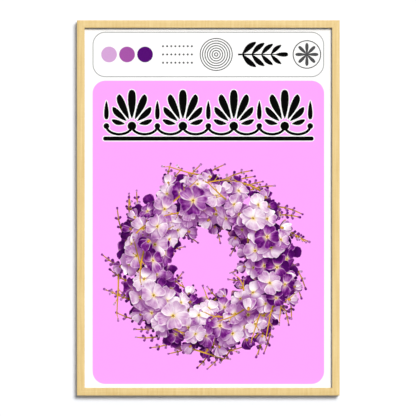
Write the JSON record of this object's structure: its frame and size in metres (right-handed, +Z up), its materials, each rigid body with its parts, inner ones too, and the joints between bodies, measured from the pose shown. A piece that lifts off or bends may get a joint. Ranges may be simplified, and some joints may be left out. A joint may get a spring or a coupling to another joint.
{
  "type": "framed poster",
  "caption": "Printed poster behind clear acrylic in a slim frame of mitred pale wood, with a backing board and hinged ring hangers for the wall.",
  "frame": {"origin": "on the wall plane, which the back bumpers touch, behind the middle of the frame", "axes": "+X to the right as seen from the front, +Y from the print back towards the wall, +Z up"},
  "size_m": [0.7, 0.025, 1],
  "materials": {
    "pale_wood": "satin",
    "clear_acrylic": "gloss",
    "printed_paper": "matte",
    "hardboard": "matte",
    "spring_steel": "satin",
    "nickelled_steel": "polished",
    "grey_rubber": "matte"
  },
  "bodies": {
    "frame": {"backing_board": "hardboard", "corner_nail_bottom_left_inner": "spring_steel", "corner_nail_bottom_left_outer": "spring_steel", "corner_nail_bottom_right_inner": "spring_steel", "corner_nail_bottom_right_outer": "spring_steel", "corner_nail_top_left_inner": "spring_steel", "corner_nail_top_left_outer": "spring_steel", "corner_nail_top_right_inner": "spring_steel", "corner_nail_top_right_outer": "spring_steel", "glazing_pane": "clear_acrylic", "hanger_screw_left_lower": "nickelled_steel", "hanger_screw_left_upper": "nickelled_steel", "hanger_screw_right_lower": "nickelled_steel", "hanger_screw_right_upper": "nickelled_steel", "hanger_strap_left": "nickelled_steel", "hanger_strap_right": "nickelled_steel", "print_sheet": "printed_paper", "rail_bottom": "pale_wood", "rail_left": "pale_wood", "rail_right": "pale_wood", "rail_top": "pale_wood", "retainer_tab_bottom_1": "spring_steel", "retainer_tab_bottom_2": "spring_steel", "retainer_tab_bottom_3": "spring_steel", "retainer_tab_left_1": "spring_steel", "retainer_tab_left_2": "spring_steel", "retainer_tab_left_3": "spring_steel", "retainer_tab_left_4": "spring_steel", "retainer_tab_left_5": "spring_steel", "retainer_tab_right_1": "spring_steel", "retainer_tab_right_2": "spring_steel", "retainer_tab_right_3": "spring_steel", "retainer_tab_right_4": "spring_steel", "retainer_tab_right_5": "spring_steel", "retainer_tab_top_1": "spring_steel", "retainer_tab_top_2": "spring_steel", "retainer_tab_top_3": "spring_steel", "wall_bumper_bottom_left": "grey_rubber", "wall_bumper_bottom_right": "grey_rubber", "wall_bumper_top_left": "grey_rubber", "wall_bumper_top_right": "grey_rubber"},
    "ring_left": {"hanger_ring_left": "nickelled_steel"},
    "ring_right": {"hanger_ring_right": "nickelled_steel"}
  },
  "joints": [
    {"name": "ring_left_swing", "type": "hinge", "parent": "frame", "child": "ring_left", "pos_m": [-0.343, -0.00285, 0.25], "axis": [1, 0, 0], "range_deg": [0, 180]},
    {"name": "ring_right_swing", "type": "hinge", "parent": "frame", "child": "ring_right", "pos_m": [0.343, -0.00285, 0.25], "axis": [1, 0, 0], "range_deg": [0, 180]}
  ]
}
